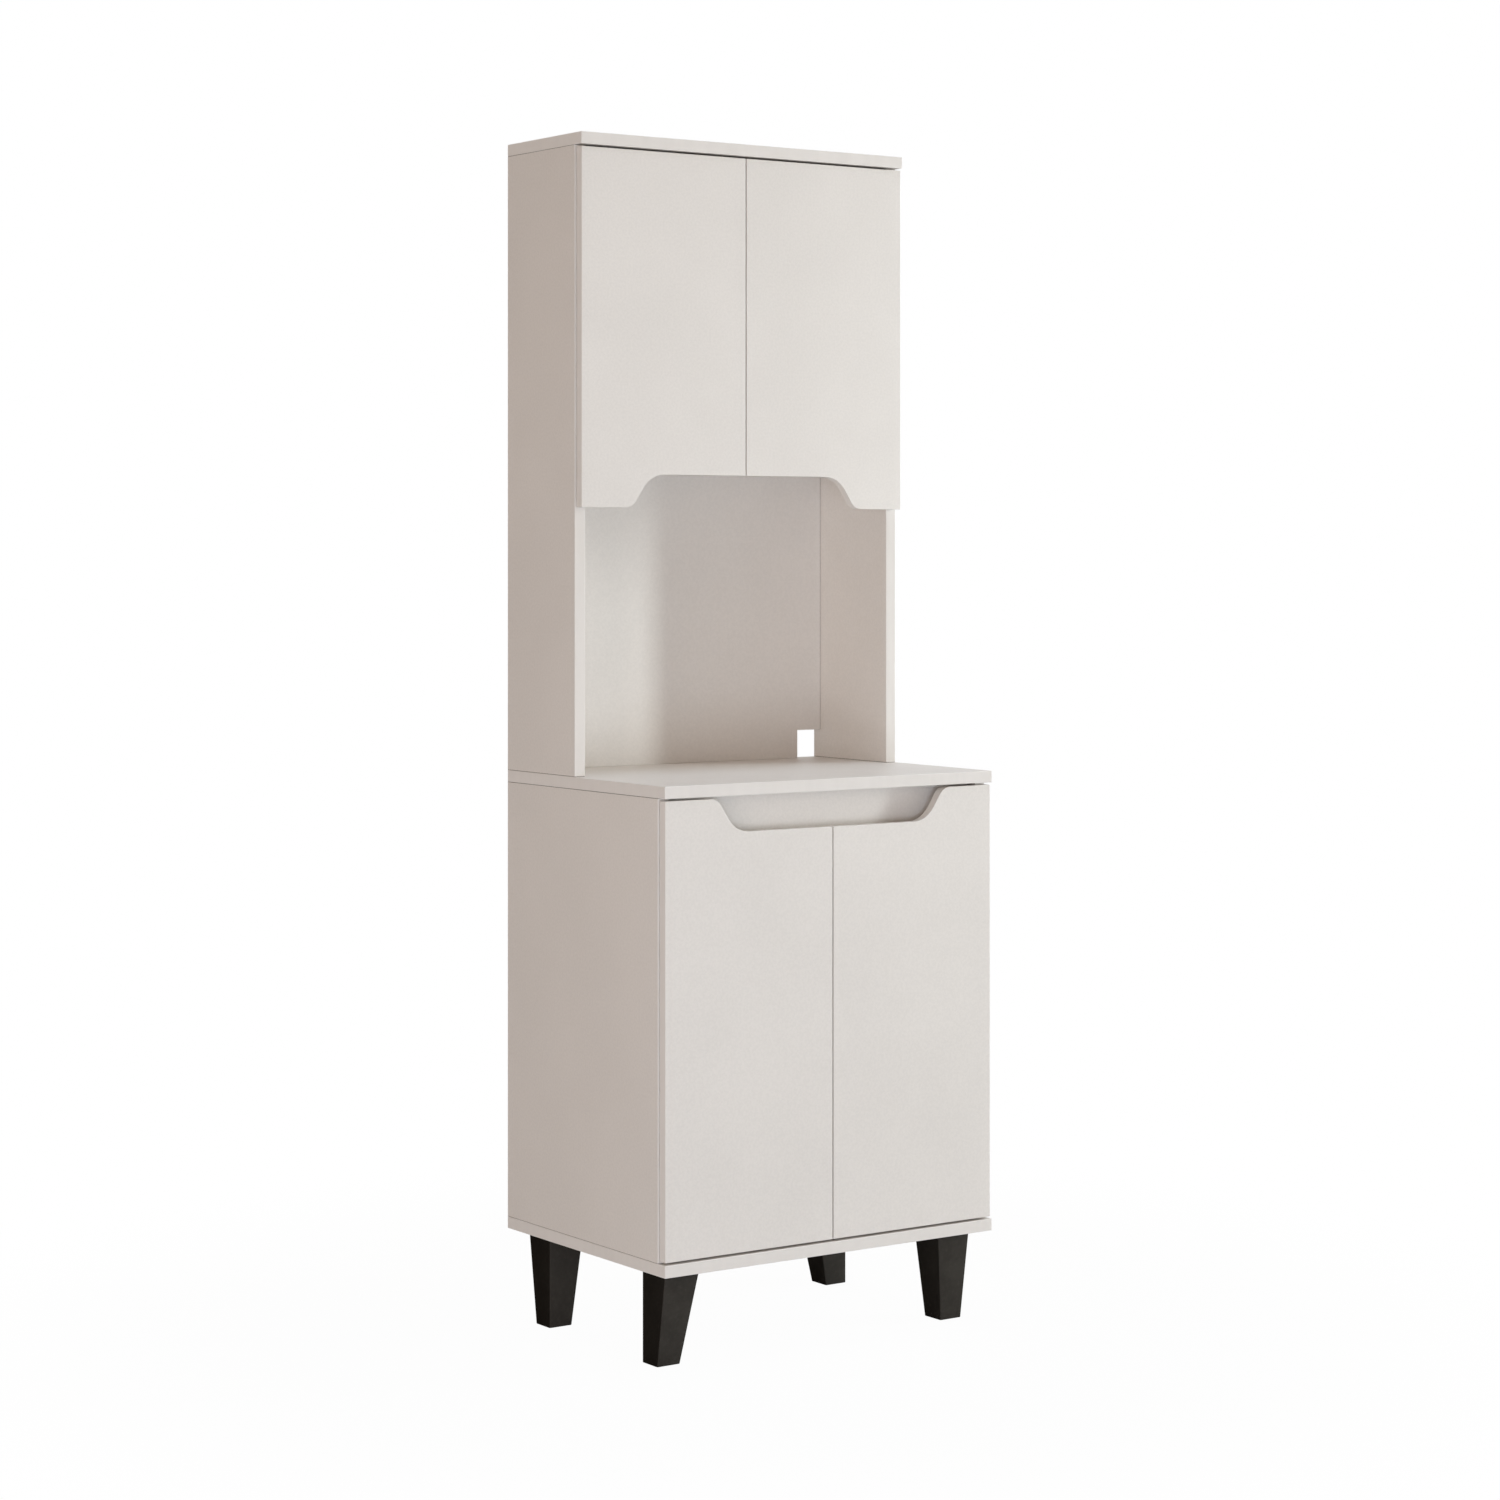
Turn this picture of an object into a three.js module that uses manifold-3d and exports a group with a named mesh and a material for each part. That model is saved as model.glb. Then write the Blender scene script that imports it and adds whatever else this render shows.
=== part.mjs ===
// A free-standing microwave cabinet: a two-door base cupboard on four tapered legs, a deep worktop
// with an open microwave bay above it, and a shallower two-door wall cupboard at the back.
// Millimetres. +X right, +Y to the wall, +Z up. The origin is on the floor under the middle.

import * as THREE from 'three';
import { mergeVertices } from 'three/addons/utils/BufferGeometryUtils.js';
import Module from 'manifold-3d';

const wasm = await Module();
wasm.setup();

// ---------------------------------------------------------------- driving dimensions
const cabinetWidth = 600;
const baseDepth = 440;            // worktop and bottom panel, front to wall
const hutchDepth = 214;           // top panel, front to wall
const board = 18;                 // thickness of every carcass board
const legHeight = 140;
const baseHeight = 705;           // underside of the bottom panel to the top of the worktop
const hutchHeight = 962;          // top of the worktop to the top of the top panel

const doorThickness = 15;
const doorSetBack = 2;            // door fronts lie behind the edge of the worktop
const bumperGap = 1.5;            // between a closed door and the carcass
const doorSideReveal = 2;
const doorEndReveal = 3.5;
const doorMeetingGap = 2.5;
const upperDoorHeight = 538;

const gripDepth = 50;             // the finger cut-out shared by a pair of doors
const gripFlatHalf = 151;         // half the level stretch of the cut-out
const gripInnerRadius = 45;
const gripOuterRadius = 22;
const gripSlope = THREE.MathUtils.degToRad(57);

const railHeight = 76;            // front rail behind the lower cut-out
const railSetBack = 18;           // behind the front edges of the side panels
const floorDrop = 3.5;            // upper cupboard floor above the level of its doors' cut-out
const thinBack = 5;               // back of the base cupboard, slid into grooves
const thinBackSetIn = 10;
const grooveDepth = 8;
const slipGap = 0.3;              // clearance of what slides, seats or turns in something else
const cableNotchWidth = 46;
const cableNotchHeight = 45;

const legTop = 61;
const legFoot = 40;
const legSideInset = 20;
const legEndInset = 30;
const legCornerRadius = 2.5;

const shelfSideGap = 1;
const shelfFrontInset = 12;
const shelfBackGap = 3;
const lowerShelfRise = 330;       // underside of the shelf above the floor of its cupboard
const upperShelfRise = 228;
const pinRadius = 2.5;
const pinDepth = 10;
const pinCollarRadius = 4.2;
const pinCollar = 1.4;
const pegRadius = 3.2;
const pegFlat = 2.4;              // the peg's flat top above its axis
const pegLength = 11;
const pinHolePitch = 32;
const pinColumnInset = 37;        // from the front and the back of a side panel
const pinHoleExtra = 3;           // the hole is deeper than the pin

const hingeEndInset = 100;        // hinge centre to the end of its door
const hingeLowerUpperDoor = 141;  // the wall cupboard's lower hinge clears the cupboard floor
const hingeAxisSide = 6;          // hinge axis from the outer face of the side panel
const hingeAxisFront = 7;         // and behind the front of the worktop or top panel
const cupRadius = 17.5;
const cupDepth = 11.5;
const cupWall = 2;
const cupFloor = 1;
const cupEdge = 5;                // from the door's edge to the cup
const flangeThickness = 0.8;
const flangeRimRadius = 18.8;
const flangeWidth = 22;
const flangeLength = 62;
const flangeCornerRadius = 5;

const plateSetBack = 37;          // mounting plate's screws behind the front edge of the side
const plateThickness = 2;
const plateLength = 42;
const plateWidth = 16;
const plateWing = 50;
const plateWingWidth = 12;
const plateWingRadius = 5.5;
const armHeight = 13.5;           // side panel to the outer face of the arm
const armWeb = 1.4;
const armHalfInside = 5.2;
const armCheek = 1.2;
const armFoot = 2.5;              // cheeks start this far off the side panel
const armSaddleHeight = 5.5;      // block between the plate and the cheeks
const armSaddleFrontInset = 3;    // from the plate's front and back ends
const armSaddleBackInset = 2;
const armNeckTop = 12;            // where the nose meets the arm, behind the link's pivot
const armNeckUnder = 10;
const armNeckFoot = 19;
const noseRadius = 2.6;
const pivotAcross = 8;            // link pivot from the side panel's inner face
const pivotBehindAxis = 2.8;      // and behind the door's hinge axis
const pivotPinRadius = 1.2;
const linkEyeRadius = 1.9;
const linkTipRadius = 1.3;
const linkHalfThickness = 0.8;
const linkHalfWidth = 3.4;
const linkEyeHalfWidth = 4.9;
const linkReachAcross = 14.9;     // pivot to the tip, towards the door's edge
const linkReachForward = 1.6;
const linkBow = 1.2;              // how far the link bows towards the bottom of the cup

const barSides = 12;              // flats round pins, holes and collars
const cupSides = 24;
const pivotSides = 10;
const gripSteps = 6;              // straight pieces in each curve of the cut-out
const linkSteps = 5;
const cutOver = 1;                // cutters reach this far past what they cut

// ---------------------------------------------------------------- places that follow from them
const halfWidth = cabinetWidth / 2;
const innerHalf = halfWidth - board;
const wallY = baseDepth / 2;
const baseFrontY = wallY - baseDepth;
const hutchFrontY = wallY - hutchDepth;
const carcassSetBack = doorSetBack + doorThickness + bumperGap;

const bottomUnderZ = legHeight;
const bottomTopZ = bottomUnderZ + board;
const worktopTopZ = legHeight + baseHeight;
const worktopUnderZ = worktopTopZ - board;
const topZ = worktopTopZ + hutchHeight;
const topUnderZ = topZ - board;

const lowerDoor = { bottom: bottomTopZ + doorEndReveal, top: worktopUnderZ - doorEndReveal };
const upperDoor = { top: topUnderZ - doorEndReveal, bottom: topUnderZ - doorEndReveal - upperDoorHeight };
const cupboardFloorZ = upperDoor.bottom + gripDepth + floorDrop;

const satin = { color: 0xe3dfd9, roughness: 0.5, metalness: 0 };
const satinDoor = { color: 0xe6e2dc, roughness: 0.45, metalness: 0 };
const blackPlastic = { color: 0x151412, roughness: 0.6, metalness: 0 };
const nickel = { color: 0xb9b9b6, roughness: 0.32, metalness: 1 };

const cabinet = new THREE.Group();

// ---------------------------------------------------------------- tools for making closed bodies
function addPiece(name, geometry, finish) {
  const mesh = new THREE.Mesh(geometry, new THREE.MeshStandardMaterial(finish));
  mesh.name = name;
  cabinet.add(mesh);
}

function toSolid(geometry) {
  const bare = geometry.clone();
  bare.deleteAttribute('normal');
  bare.deleteAttribute('uv');
  const merged = mergeVertices(bare, 1e-4);
  return new wasm.Manifold(new wasm.Mesh({
    numProp: 3,
    vertProperties: new Float32Array(merged.attributes.position.array),
    triVerts: new Uint32Array(merged.index.array),
  }));
}

function fromSolid(solid) {
  const mesh = solid.getMesh();
  const geometry = new THREE.BufferGeometry();
  geometry.setAttribute('position', new THREE.BufferAttribute(new Float32Array(mesh.vertProperties), 3));
  geometry.setIndex(new THREE.BufferAttribute(new Uint32Array(mesh.triVerts), 1));
  return geometry;
}

function cut(geometry, cutters) {
  const start = toSolid(geometry);
  return fromSolid(cutters.reduce((solid, cutter) => solid.subtract(toSolid(cutter)), start));
}

function join(geometries) {
  return fromSolid(geometries.map(toSolid).reduce((solid, next) => solid.add(next)));
}

function block([x0, x1], [y0, y1], [z0, z1]) {
  const geometry = new THREE.BoxGeometry(x1 - x0, y1 - y0, z1 - z0);
  return geometry.translate((x0 + x1) / 2, (y0 + y1) / 2, (z0 + z1) / 2);
}

// A round bar along X, Y or Z from one end to the other, turned so that a flat faces each way.
function bar(along, radius, from, to, centre, sides = barSides) {
  const geometry = new THREE.CylinderGeometry(radius, radius, to - from, sides);
  const middle = (from + to) / 2;
  if (along === 'x') return geometry.rotateZ(Math.PI / 2).translate(middle, centre[0], centre[1]);
  if (along === 'y') return geometry.translate(centre[0], middle, centre[1]);
  return geometry.rotateX(Math.PI / 2).translate(centre[0], centre[1], middle);
}

// An outline drawn in X and Z, given its thickness in Y from front to back.
function extrudeInY(outline, front, back) {
  const geometry = new THREE.ExtrudeGeometry(outline, { depth: back - front, bevelEnabled: false, curveSegments: 3 });
  return geometry.rotateX(Math.PI / 2).translate(0, back, 0);
}

// An outline drawn in X and Y, given its height in Z.
function extrudeInZ(outline, low, high) {
  const geometry = new THREE.ExtrudeGeometry(outline, { depth: high - low, bevelEnabled: false, curveSegments: 5 });
  return geometry.translate(0, 0, low);
}

// The same piece on the other side, or at the back, of the cabinet. A mirror turns the faces
// inside out, so they are turned back.
function mirror(geometry, x, y) {
  const flipped = (geometry.index ? geometry.clone() : mergeVertices(geometry)).scale(x, y, 1);
  const index = flipped.index.array;
  for (let i = 0; i < index.length; i += 3) [index[i], index[i + 1]] = [index[i + 1], index[i]];
  flipped.deleteAttribute('normal');
  return flipped;
}

function mirrorX(geometry) {
  return mirror(geometry, -1, 1);
}

function roundedRectangle(halfW, halfH, radius) {
  const shape = new THREE.Shape();
  shape.moveTo(halfW, -halfH + radius);
  shape.absarc(halfW - radius, halfH - radius, radius, 0, Math.PI / 2);
  shape.absarc(-halfW + radius, halfH - radius, radius, Math.PI / 2, Math.PI);
  shape.absarc(-halfW + radius, -halfH + radius, radius, Math.PI, 1.5 * Math.PI);
  shape.absarc(halfW - radius, -halfH + radius, radius, 1.5 * Math.PI, 2 * Math.PI);
  return shape;
}

// ---------------------------------------------------------------- carcass boards
const grooveY = [wallY - thinBackSetIn - thinBack - slipGap, wallY - thinBackSetIn + slipGap];
const sideFrontY = baseFrontY + carcassSetBack;
const hutchSideFrontY = hutchFrontY + carcassSetBack;

// Three shelf-pin holes, one pitch apart, in a front and a back column of a side panel.
function pinColumns(frontY, backY) {
  return [frontY + pinColumnInset, backY - pinColumnInset];
}

function pinHoles(innerX, outward, columns, shelfUnderZ) {
  const holes = [];
  for (const y of columns) {
    for (const step of [-1, 0, 1]) {
      const z = shelfUnderZ - pegFlat + step * pinHolePitch;
      const ends = [innerX - outward * cutOver, innerX + outward * (pinDepth + pinHoleExtra)].sort((a, b) => a - b);
      holes.push(bar('x', pinRadius + slipGap, ends[0], ends[1], [y, z]));
    }
  }
  return holes;
}

const lowerShelfUnder = bottomTopZ + lowerShelfRise;
const upperShelfUnder = cupboardFloorZ + board + upperShelfRise;
const lowerColumns = pinColumns(sideFrontY, grooveY[0]);
const upperColumns = pinColumns(hutchSideFrontY, wallY - board);

for (const [side, outward] of [['left', -1], ['right', 1]]) {
  const across = [outward * innerHalf, outward * halfWidth].sort((a, b) => a - b);
  const grooveX = [outward * (innerHalf - cutOver), outward * (innerHalf + grooveDepth)].sort((a, b) => a - b);
  const groove = block(grooveX, grooveY, [bottomTopZ - cutOver, worktopUnderZ + cutOver]);
  addPiece(`base_${side}_side`, cut(
    block(across, [sideFrontY, wallY], [bottomTopZ, worktopUnderZ]),
    [groove, ...pinHoles(outward * innerHalf, outward, lowerColumns, lowerShelfUnder)],
  ), satin);
  addPiece(`hutch_${side}_side`, cut(
    block(across, [hutchSideFrontY, wallY], [worktopTopZ, topUnderZ]),
    pinHoles(outward * innerHalf, outward, upperColumns, upperShelfUnder),
  ), satin);
}

const fullX = [-halfWidth, halfWidth];
const insideX = [-innerHalf, innerHalf];
const backGrooveX = [-innerHalf - grooveDepth, innerHalf + grooveDepth];
const railFrontY = sideFrontY + railSetBack;

addPiece('bottom_panel', cut(
  block(fullX, [baseFrontY, wallY], [bottomUnderZ, bottomTopZ]),
  [block(backGrooveX, grooveY, [bottomTopZ - grooveDepth, bottomTopZ + cutOver])],
), satin);
addPiece('worktop', cut(
  block(fullX, [baseFrontY, wallY], [worktopUnderZ, worktopTopZ]),
  [block(backGrooveX, grooveY, [worktopUnderZ - cutOver, worktopUnderZ + grooveDepth])],
), satin);
addPiece('top_panel', block(fullX, [hutchFrontY, wallY], [topUnderZ, topZ]), satin);
addPiece('upper_cupboard_floor', block(
  insideX, [hutchSideFrontY, wallY - board], [cupboardFloorZ, cupboardFloorZ + board],
), satin);
addPiece('front_rail', block(
  insideX, [railFrontY, railFrontY + board], [worktopUnderZ - railHeight, worktopUnderZ],
), satin);

const seatDepth = grooveDepth - slipGap;
addPiece('base_back_panel', block(
  [-innerHalf - seatDepth, innerHalf + seatDepth],
  [grooveY[0] + slipGap, grooveY[1] - slipGap],
  [bottomTopZ - seatDepth, worktopUnderZ + seatDepth],
), satin);

// The bay's back panel has a corner cut away for the appliance's cable.
const backOutline = new THREE.Shape();
backOutline.moveTo(-innerHalf, worktopTopZ);
backOutline.lineTo(innerHalf - cableNotchWidth, worktopTopZ);
backOutline.lineTo(innerHalf - cableNotchWidth, worktopTopZ + cableNotchHeight);
backOutline.lineTo(innerHalf, worktopTopZ + cableNotchHeight);
backOutline.lineTo(innerHalf, topUnderZ);
backOutline.lineTo(-innerHalf, topUnderZ);
addPiece('hutch_back_panel', extrudeInY(backOutline, wallY - board, wallY), satin);

// ---------------------------------------------------------------- shelves and their pins
const shelfX = [-innerHalf + shelfSideGap, innerHalf - shelfSideGap];

addPiece('base_shelf', block(
  shelfX, [sideFrontY + board + shelfFrontInset, grooveY[0] - shelfBackGap],
  [lowerShelfUnder, lowerShelfUnder + board],
), satin);
addPiece('upper_shelf', block(
  shelfX, [hutchSideFrontY + shelfFrontInset, wallY - board - shelfBackGap],
  [upperShelfUnder, upperShelfUnder + board],
), satin);

function shelfPin(y, underZ) {
  const centre = [y, underZ - pegFlat];
  const innerX = -innerHalf;
  const shaft = bar('x', pinRadius, innerX - pinDepth, innerX + pinCollar, centre);
  const collar = bar('x', pinCollarRadius, innerX, innerX + pinCollar, centre);
  const peg = bar('x', pegRadius, innerX + pinCollar / 2, innerX + pegLength, centre);
  const clear = block(
    [innerX, innerX + pegLength + cutOver], [y - pinCollarRadius - cutOver, y + pinCollarRadius + cutOver],
    [underZ, underZ + pinCollarRadius],
  );
  return cut(join([shaft, collar, peg]), [clear]);
}

for (const [shelf, columns, underZ] of [
  ['base_shelf', lowerColumns, lowerShelfUnder],
  ['upper_shelf', upperColumns, upperShelfUnder],
]) {
  columns.forEach((y, i) => {
    const place = i === 0 ? 'front' : 'back';
    const pin = shelfPin(y, underZ);
    addPiece(`${shelf}_pin_${place}_left`, pin, nickel);
    addPiece(`${shelf}_pin_${place}_right`, mirrorX(pin), nickel);
  });
}

// ---------------------------------------------------------------- legs
// The face under the cabinet's side and the face towards its middle are upright; the other two
// lean in. The section is a square with small round corners that shrinks on the way down.
function leg() {
  const ringPoints = (size) => {
    const outline = roundedRectangle(size / 2, size / 2, legCornerRadius).getPoints(2);
    outline.pop();
    return outline.map((p) => new THREE.Vector2(p.x + size / 2, p.y - size / 2));
  };
  const foot = ringPoints(legFoot);
  const head = ringPoints(legTop);
  const positions = [];
  foot.forEach((p) => positions.push(p.x, p.y, 0));
  head.forEach((p) => positions.push(p.x, p.y, legHeight));
  const count = foot.length;
  const index = [];
  for (let i = 0; i < count; i += 1) {
    const next = (i + 1) % count;
    index.push(i, next, count + i, next, count + next, count + i);
  }
  for (let i = 1; i < count - 1; i += 1) {
    index.push(0, i + 1, i);
    index.push(count, count + i, count + i + 1);
  }
  const geometry = new THREE.BufferGeometry();
  geometry.setAttribute('position', new THREE.Float32BufferAttribute(positions, 3));
  geometry.setIndex(index);
  return geometry;
}

// The section's upright corner is its origin, at low X and high Y.
const legX = -halfWidth + legSideInset;
const frontLegY = baseFrontY + legEndInset + legTop;
const frontLeg = leg().translate(legX, frontLegY, 0);
const backLeg = mirror(frontLeg, 1, -1);
addPiece('front_left_leg', frontLeg, blackPlastic);
addPiece('front_right_leg', mirrorX(frontLeg), blackPlastic);
addPiece('back_left_leg', backLeg, blackPlastic);
addPiece('back_right_leg', mirrorX(backLeg), blackPlastic);

// ---------------------------------------------------------------- doors and their hinges
const boreRadius = cupRadius + slipGap;
const doorEdgeX = -halfWidth + doorSideReveal;
const cupX = doorEdgeX + cupEdge + cupRadius;

// Half of the finger cut-out, as heights above the door's end: a round outer corner, a straight
// slope and a wider round that meets the level stretch.
function doorOutline(end, far) {
  const up = Math.sign(far - end);
  const turn = (gripInnerRadius + gripOuterRadius) * (1 - Math.cos(gripSlope));
  const slope = (gripDepth - turn) / Math.sin(gripSlope);
  const run = (gripInnerRadius + gripOuterRadius) * Math.sin(gripSlope) + slope * Math.cos(gripSlope);
  const points = [new THREE.Vector2(doorEdgeX, end)];
  for (let i = 0; i <= gripSteps; i += 1) {
    const a = (gripSlope * i) / gripSteps;
    points.push(new THREE.Vector2(
      -gripFlatHalf - run + gripOuterRadius * Math.sin(a),
      end + up * gripOuterRadius * (1 - Math.cos(a)),
    ));
  }
  for (let i = gripSteps; i >= 0; i -= 1) {
    const a = (gripSlope * i) / gripSteps;
    points.push(new THREE.Vector2(
      -gripFlatHalf - gripInnerRadius * Math.sin(a),
      end + up * (gripDepth - gripInnerRadius * (1 - Math.cos(a))),
    ));
  }
  points.push(new THREE.Vector2(-doorMeetingGap / 2, end + up * gripDepth));
  points.push(new THREE.Vector2(-doorMeetingGap / 2, far));
  points.push(new THREE.Vector2(doorEdgeX, far));
  return new THREE.Shape(points);
}

function door(frontY, gripEnd, farEnd, hingeHeights) {
  const front = frontY + doorSetBack;
  const back = front + doorThickness;
  const panel = extrudeInY(doorOutline(gripEnd, farEnd), front, back);
  const bores = hingeHeights.map((z) => bar('y', boreRadius, back - cupDepth - slipGap, back + cutOver, [cupX, z], cupSides));
  return cut(panel, bores);
}

// The pressed cup sits in the door's bore, its flange flat on the back of the door.
function hingeCup(frontY, z) {
  const seat = frontY + doorSetBack + doorThickness;
  const bottom = seat - cupDepth;
  const body = bar('y', cupRadius, bottom, seat + flangeThickness, [cupX, z], cupSides);
  const rim = bar('y', flangeRimRadius, seat, seat + flangeThickness, [cupX, z], cupSides);
  const wings = extrudeInY(roundedRectangle(flangeWidth / 2, flangeLength / 2, flangeCornerRadius), seat, seat + flangeThickness);
  wings.translate(cupX, 0, z);
  const hollow = bar('y', cupRadius - cupWall, bottom + cupFloor, seat + flangeThickness + cutOver, [cupX, z], cupSides);
  return cut(join([body, rim, wings]), [hollow]);
}

// The link's pivot in the arm, beside the inner face of the side panel.
const pivotX = -innerHalf + pivotAcross;
function pivotY(frontY) {
  return frontY + hingeAxisFront + pivotBehindAxis;
}

// The cranked arm on its cross-shaped mounting plate. The arm is a channel open to the side panel,
// and its two cheeks run on as a rounded nose that reaches into the cup and holds the link's pin.
function hingeArm(frontY, z) {
  const sideX = -innerHalf;
  const crownX = sideX + armHeight;
  const plateY = frontY + carcassSetBack + plateSetBack;
  const tail = plateY + plateLength / 2;
  const noseY = pivotY(frontY);
  const cheekOut = armHalfInside + armCheek;

  const plate = block([sideX, sideX + plateThickness], [plateY - plateLength / 2, tail], [z - plateWidth / 2, z + plateWidth / 2]);
  const wing = new THREE.Shape(roundedRectangle(plateWing / 2, plateWingWidth / 2, plateWingRadius).getPoints(2));
  const wings = extrudeInZ(wing, 0, plateThickness).rotateY(Math.PI / 2).translate(sideX, plateY, z);
  const saddle = block(
    [sideX + plateThickness / 2, sideX + armSaddleHeight],
    [plateY - plateLength / 2 + armSaddleFrontInset, tail - armSaddleBackInset],
    [z - cheekOut, z + cheekOut],
  );

  const side = new THREE.Shape();
  side.moveTo(sideX + armFoot, tail);
  side.lineTo(sideX + armFoot, noseY + armNeckFoot);
  side.lineTo(pivotX - noseRadius, noseY + armNeckUnder);
  side.absarc(pivotX, noseY, noseRadius, Math.PI, 2 * Math.PI, false);
  side.lineTo(crownX, noseY + armNeckTop);
  side.lineTo(crownX, tail);
  const cheeks = extrudeInZ(side, z - cheekOut, z + cheekOut);
  const inside = [z - armHalfInside, z + armHalfInside];
  const mouthY = noseY - noseRadius - cutOver;
  const channel = block([sideX - cutOver, crownX - armWeb], [mouthY, tail + cutOver], inside);
  const mouth = block([sideX - cutOver, crownX + cutOver], [mouthY, noseY + armNeckTop], inside);
  const pinHole = bar('z', pivotPinRadius + slipGap, z - cheekOut - cutOver, z + cheekOut + cutOver, [pivotX, noseY], pivotSides);
  return join([plate, wings, saddle, cut(cheeks, [channel, mouth, pinHole])]);
}

// The link turns on its pin between the arm's cheeks, and its tip works along the near wall of the
// cup: it leaves the cup's floor for the rim as the door opens.
function hingeLink(frontY, z) {
  const start = new THREE.Vector2(pivotX, pivotY(frontY));
  const tip = new THREE.Vector2(pivotX - linkReachAcross, start.y - linkReachForward);
  const along = tip.clone().sub(start).normalize();
  const bow = new THREE.Vector2(-along.y, along.x);
  const upper = [];
  const lower = [];
  for (let i = 0; i <= linkSteps; i += 1) {
    const s = i / linkSteps;
    const middle = start.clone().lerp(tip, s).addScaledVector(bow, linkBow * 4 * s * (1 - s));
    upper.push(middle.clone().addScaledVector(bow, -linkHalfThickness));
    lower.push(middle.clone().addScaledVector(bow, linkHalfThickness));
  }
  const strip = extrudeInZ(new THREE.Shape([...upper, ...lower.reverse()]), z - linkHalfWidth, z + linkHalfWidth);
  const eye = bar('z', linkEyeRadius, z - linkEyeHalfWidth, z + linkEyeHalfWidth, [start.x, start.y], pivotSides);
  const roll = bar('z', linkTipRadius, z - linkHalfWidth, z + linkHalfWidth, [tip.x, tip.y], pivotSides);
  const cheekOut = armHalfInside + armCheek;
  const pin = bar('z', pivotPinRadius, z - cheekOut, z + cheekOut, [start.x, start.y], pivotSides);
  return join([strip, eye, roll, pin]);
}

for (const [tier, frontY, gripEnd, farEnd, heights] of [
  ['lower', baseFrontY, lowerDoor.top, lowerDoor.bottom,
    { bottom: lowerDoor.bottom + hingeEndInset, top: lowerDoor.top - hingeEndInset }],
  ['upper', hutchFrontY, upperDoor.bottom, upperDoor.top,
    { bottom: upperDoor.bottom + hingeLowerUpperDoor, top: upperDoor.top - hingeEndInset }],
]) {
  const leaf = door(frontY, gripEnd, farEnd, Object.values(heights));
  addPiece(`${tier}_left_door`, leaf, satinDoor);
  addPiece(`${tier}_right_door`, mirrorX(leaf), satinDoor);
  for (const [place, z] of Object.entries(heights)) {
    const pieces = { cup: hingeCup(frontY, z), arm: hingeArm(frontY, z), link: hingeLink(frontY, z) };
    for (const [kind, geometry] of Object.entries(pieces)) {
      addPiece(`${tier}_left_${place}_hinge_${kind}`, geometry, nickel);
      addPiece(`${tier}_right_${place}_hinge_${kind}`, mirrorX(geometry), nickel);
    }
  }
}

export default cabinet;
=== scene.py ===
import math

import bmesh
import bpy
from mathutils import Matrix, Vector


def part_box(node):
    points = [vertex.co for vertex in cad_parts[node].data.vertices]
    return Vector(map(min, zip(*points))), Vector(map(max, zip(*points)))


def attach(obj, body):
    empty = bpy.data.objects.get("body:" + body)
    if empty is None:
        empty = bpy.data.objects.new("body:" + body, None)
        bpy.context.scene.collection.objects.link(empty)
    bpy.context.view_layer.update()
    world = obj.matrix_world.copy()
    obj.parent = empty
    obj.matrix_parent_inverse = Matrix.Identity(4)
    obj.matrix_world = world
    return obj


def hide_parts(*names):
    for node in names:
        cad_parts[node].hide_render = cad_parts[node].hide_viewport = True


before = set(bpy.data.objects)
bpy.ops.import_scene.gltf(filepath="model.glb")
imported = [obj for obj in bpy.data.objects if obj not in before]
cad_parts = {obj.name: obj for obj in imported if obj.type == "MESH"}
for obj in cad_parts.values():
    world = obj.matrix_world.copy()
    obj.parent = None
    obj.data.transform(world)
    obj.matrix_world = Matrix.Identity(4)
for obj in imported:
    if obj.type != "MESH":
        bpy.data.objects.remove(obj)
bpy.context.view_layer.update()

# A tall microwave cabinet in satin off-white laminate on black tapered legs.
# The boards, doors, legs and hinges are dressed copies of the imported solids. The screws, cover
# caps and door bumpers are made here. Metres, front towards -Y, floor at z = 0.

millimetre = 0.001
axisX, axisY, axisZ = range(3)      # places in a vector
backward = (0.0, 1.0, 0.0)
upward = (0.0, 0.0, 1.0)
white = (1.0, 1.0, 1.0, 1.0)

meshMending = {
    "mergeDistance": 0.002 * millimetre,
    "flatAngle": 0.5,                       # degrees; faces that turn less become one again
    "sliverDistance": 0.005 * millimetre,   # for what a bevel or a boolean leaves too close
}


def nodeMiddle(node):
    low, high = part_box(node)
    return (low + high) / 2


def addObject(name, data):
    made = bpy.data.objects.new(name, data)
    bpy.context.scene.collection.objects.link(made)
    return made


def addPiece(name, mesh, body, materials, replacedNode=None):
    data = bpy.data.meshes.new(name)
    mesh.to_mesh(data)
    mesh.free()
    for material in materials:
        data.materials.append(material)
    piece = addObject(name, data)
    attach(piece, body)
    if replacedNode:
        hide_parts(replacedNode)
    return piece


def mergeVertices(mesh, distance):
    bmesh.ops.remove_doubles(mesh, verts=mesh.verts, dist=distance)


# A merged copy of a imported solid. Its flat faces become single faces again.
def openCopy(node):
    mesh = bmesh.new()
    mesh.from_mesh(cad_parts[node].data)
    mergeVertices(mesh, meshMending["mergeDistance"])
    bmesh.ops.dissolve_limit(
        mesh, angle_limit=math.radians(meshMending["flatAngle"]),
        verts=mesh.verts, edges=mesh.edges,
    )
    for layer in list(mesh.loops.layers.uv.values()):
        mesh.loops.layers.uv.remove(layer)
    mesh.normal_update()
    return mesh


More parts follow.
